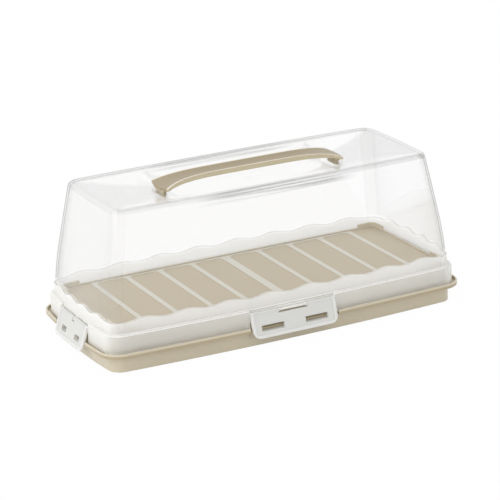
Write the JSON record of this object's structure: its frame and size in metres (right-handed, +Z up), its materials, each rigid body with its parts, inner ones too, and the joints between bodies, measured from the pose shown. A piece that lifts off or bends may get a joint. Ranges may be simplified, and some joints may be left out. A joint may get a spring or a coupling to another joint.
{
  "type": "bread storage container",
  "caption": "Long loaf keeper: shallow tray with a raised slatted deck, a clear lift-off hood with a strap handle in its hollowed roof, and hinged snap clips on its sides.",
  "frame": {"origin": "middle of the foot's underside, on the surface the container stands on", "axes": "+X along the length, to the right seen from the front; -Y out of the long front side; +Z up"},
  "size_m": [0.3724, 0.1718, 0.1466],
  "materials": {
    "tray_plastic": "satin moulded polypropylene, warm beige",
    "hood_plastic": "clear polypropylene, slightly hazy, frosted round its foot",
    "handle_plastic": "satin moulded polypropylene, warm beige",
    "clip_plastic": "milky translucent polypropylene"
  },
  "bodies": {
    "tray_body": {"base_tray": "tray_plastic"},
    "hood_body": {"hood": "hood_plastic", "handle": "handle_plastic"},
    "front_clip_body": {"front_clip": "clip_plastic"},
    "rear_clip_body": {"rear_clip": "clip_plastic"},
    "left_clip_body": {"left_clip": "clip_plastic"},
    "right_clip_body": {"right_clip": "clip_plastic"}
  },
  "joints": [
    {"name": "hood_lift", "type": "slide", "parent": "tray_body", "child": "hood_body", "axis": [0, 0, 1], "range_m": [0, 0.17]},
    {"name": "front_clip_hinge", "type": "hinge", "parent": "hood_body", "child": "front_clip_body", "pos_m": [0, -0.0771, 0.0303], "axis": [-1, 0, 0], "range_deg": [0, 115]},
    {"name": "rear_clip_hinge", "type": "hinge", "parent": "hood_body", "child": "rear_clip_body", "pos_m": [0, 0.0771, 0.0303], "axis": [1, 0, 0], "range_deg": [0, 115]},
    {"name": "left_clip_hinge", "type": "hinge", "parent": "hood_body", "child": "left_clip_body", "pos_m": [-0.1774, 0, 0.0303], "axis": [0, 1, 0], "range_deg": [0, 115]},
    {"name": "right_clip_hinge", "type": "hinge", "parent": "hood_body", "child": "right_clip_body", "pos_m": [0.1774, 0, 0.0303], "axis": [0, -1, 0], "range_deg": [0, 115]}
  ]
}
